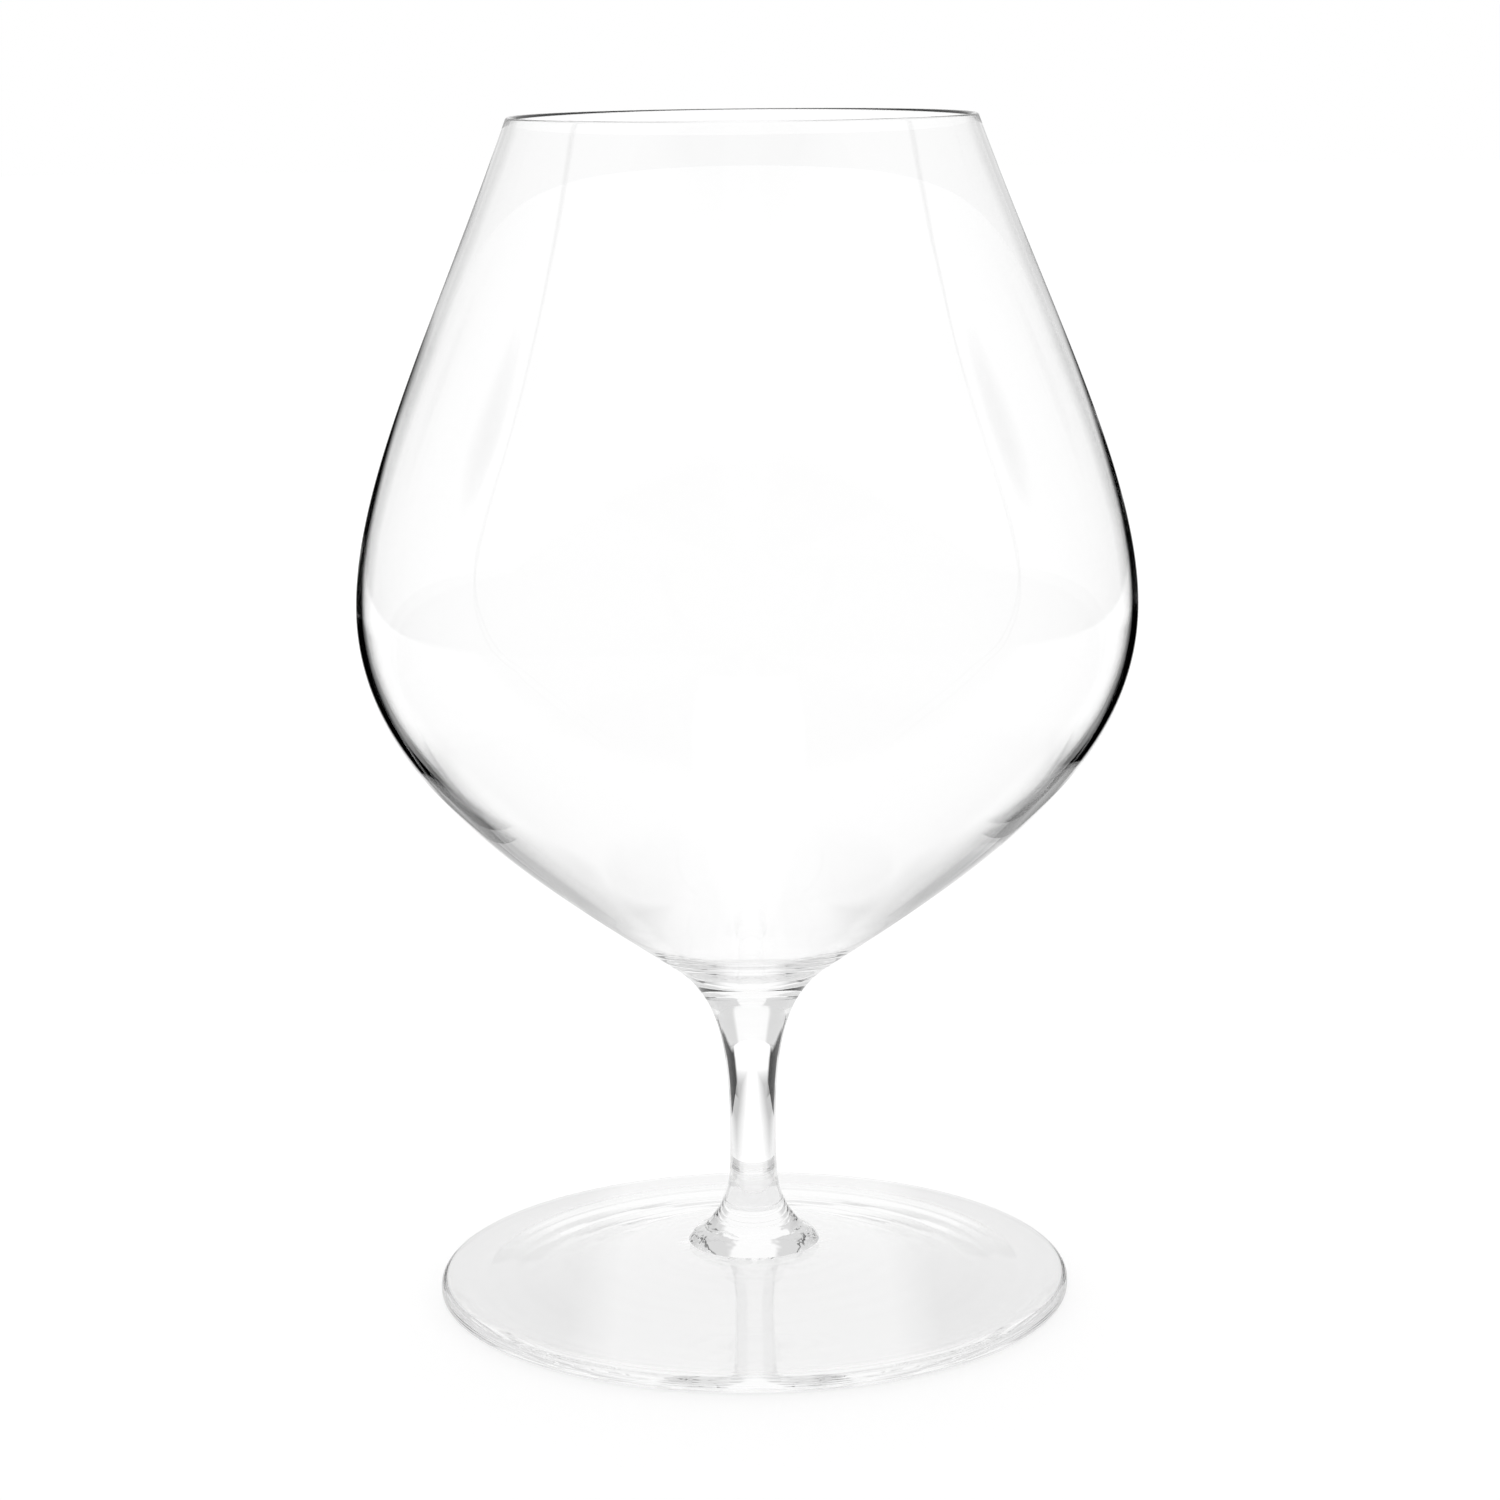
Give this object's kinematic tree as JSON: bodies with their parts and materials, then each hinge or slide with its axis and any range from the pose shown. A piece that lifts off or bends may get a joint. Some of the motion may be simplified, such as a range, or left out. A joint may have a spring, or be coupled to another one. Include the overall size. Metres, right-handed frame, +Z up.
{
  "type": "wine glass",
  "caption": "Balloon wine glass: a wide bowl that narrows to the rim, a short waisted stem and a broad shallow foot, fused from clear glass.",
  "frame": {"origin": "centre of the ring that the foot stands on", "axes": "+Z up along the axis that the glass is turned about, from the foot to the rim"},
  "size_m": [0.1124, 0.1124, 0.1724],
  "materials": {
    "bowl_glass": "blown, fire-polished rim",
    "stem_glass": "drawn, fire-polished",
    "foot_glass": "spun and fire-polished"
  },
  "bodies": {
    "root": {"bowl": "bowl_glass", "stem": "stem_glass", "foot": "foot_glass"}
  },
  "joints": []
}
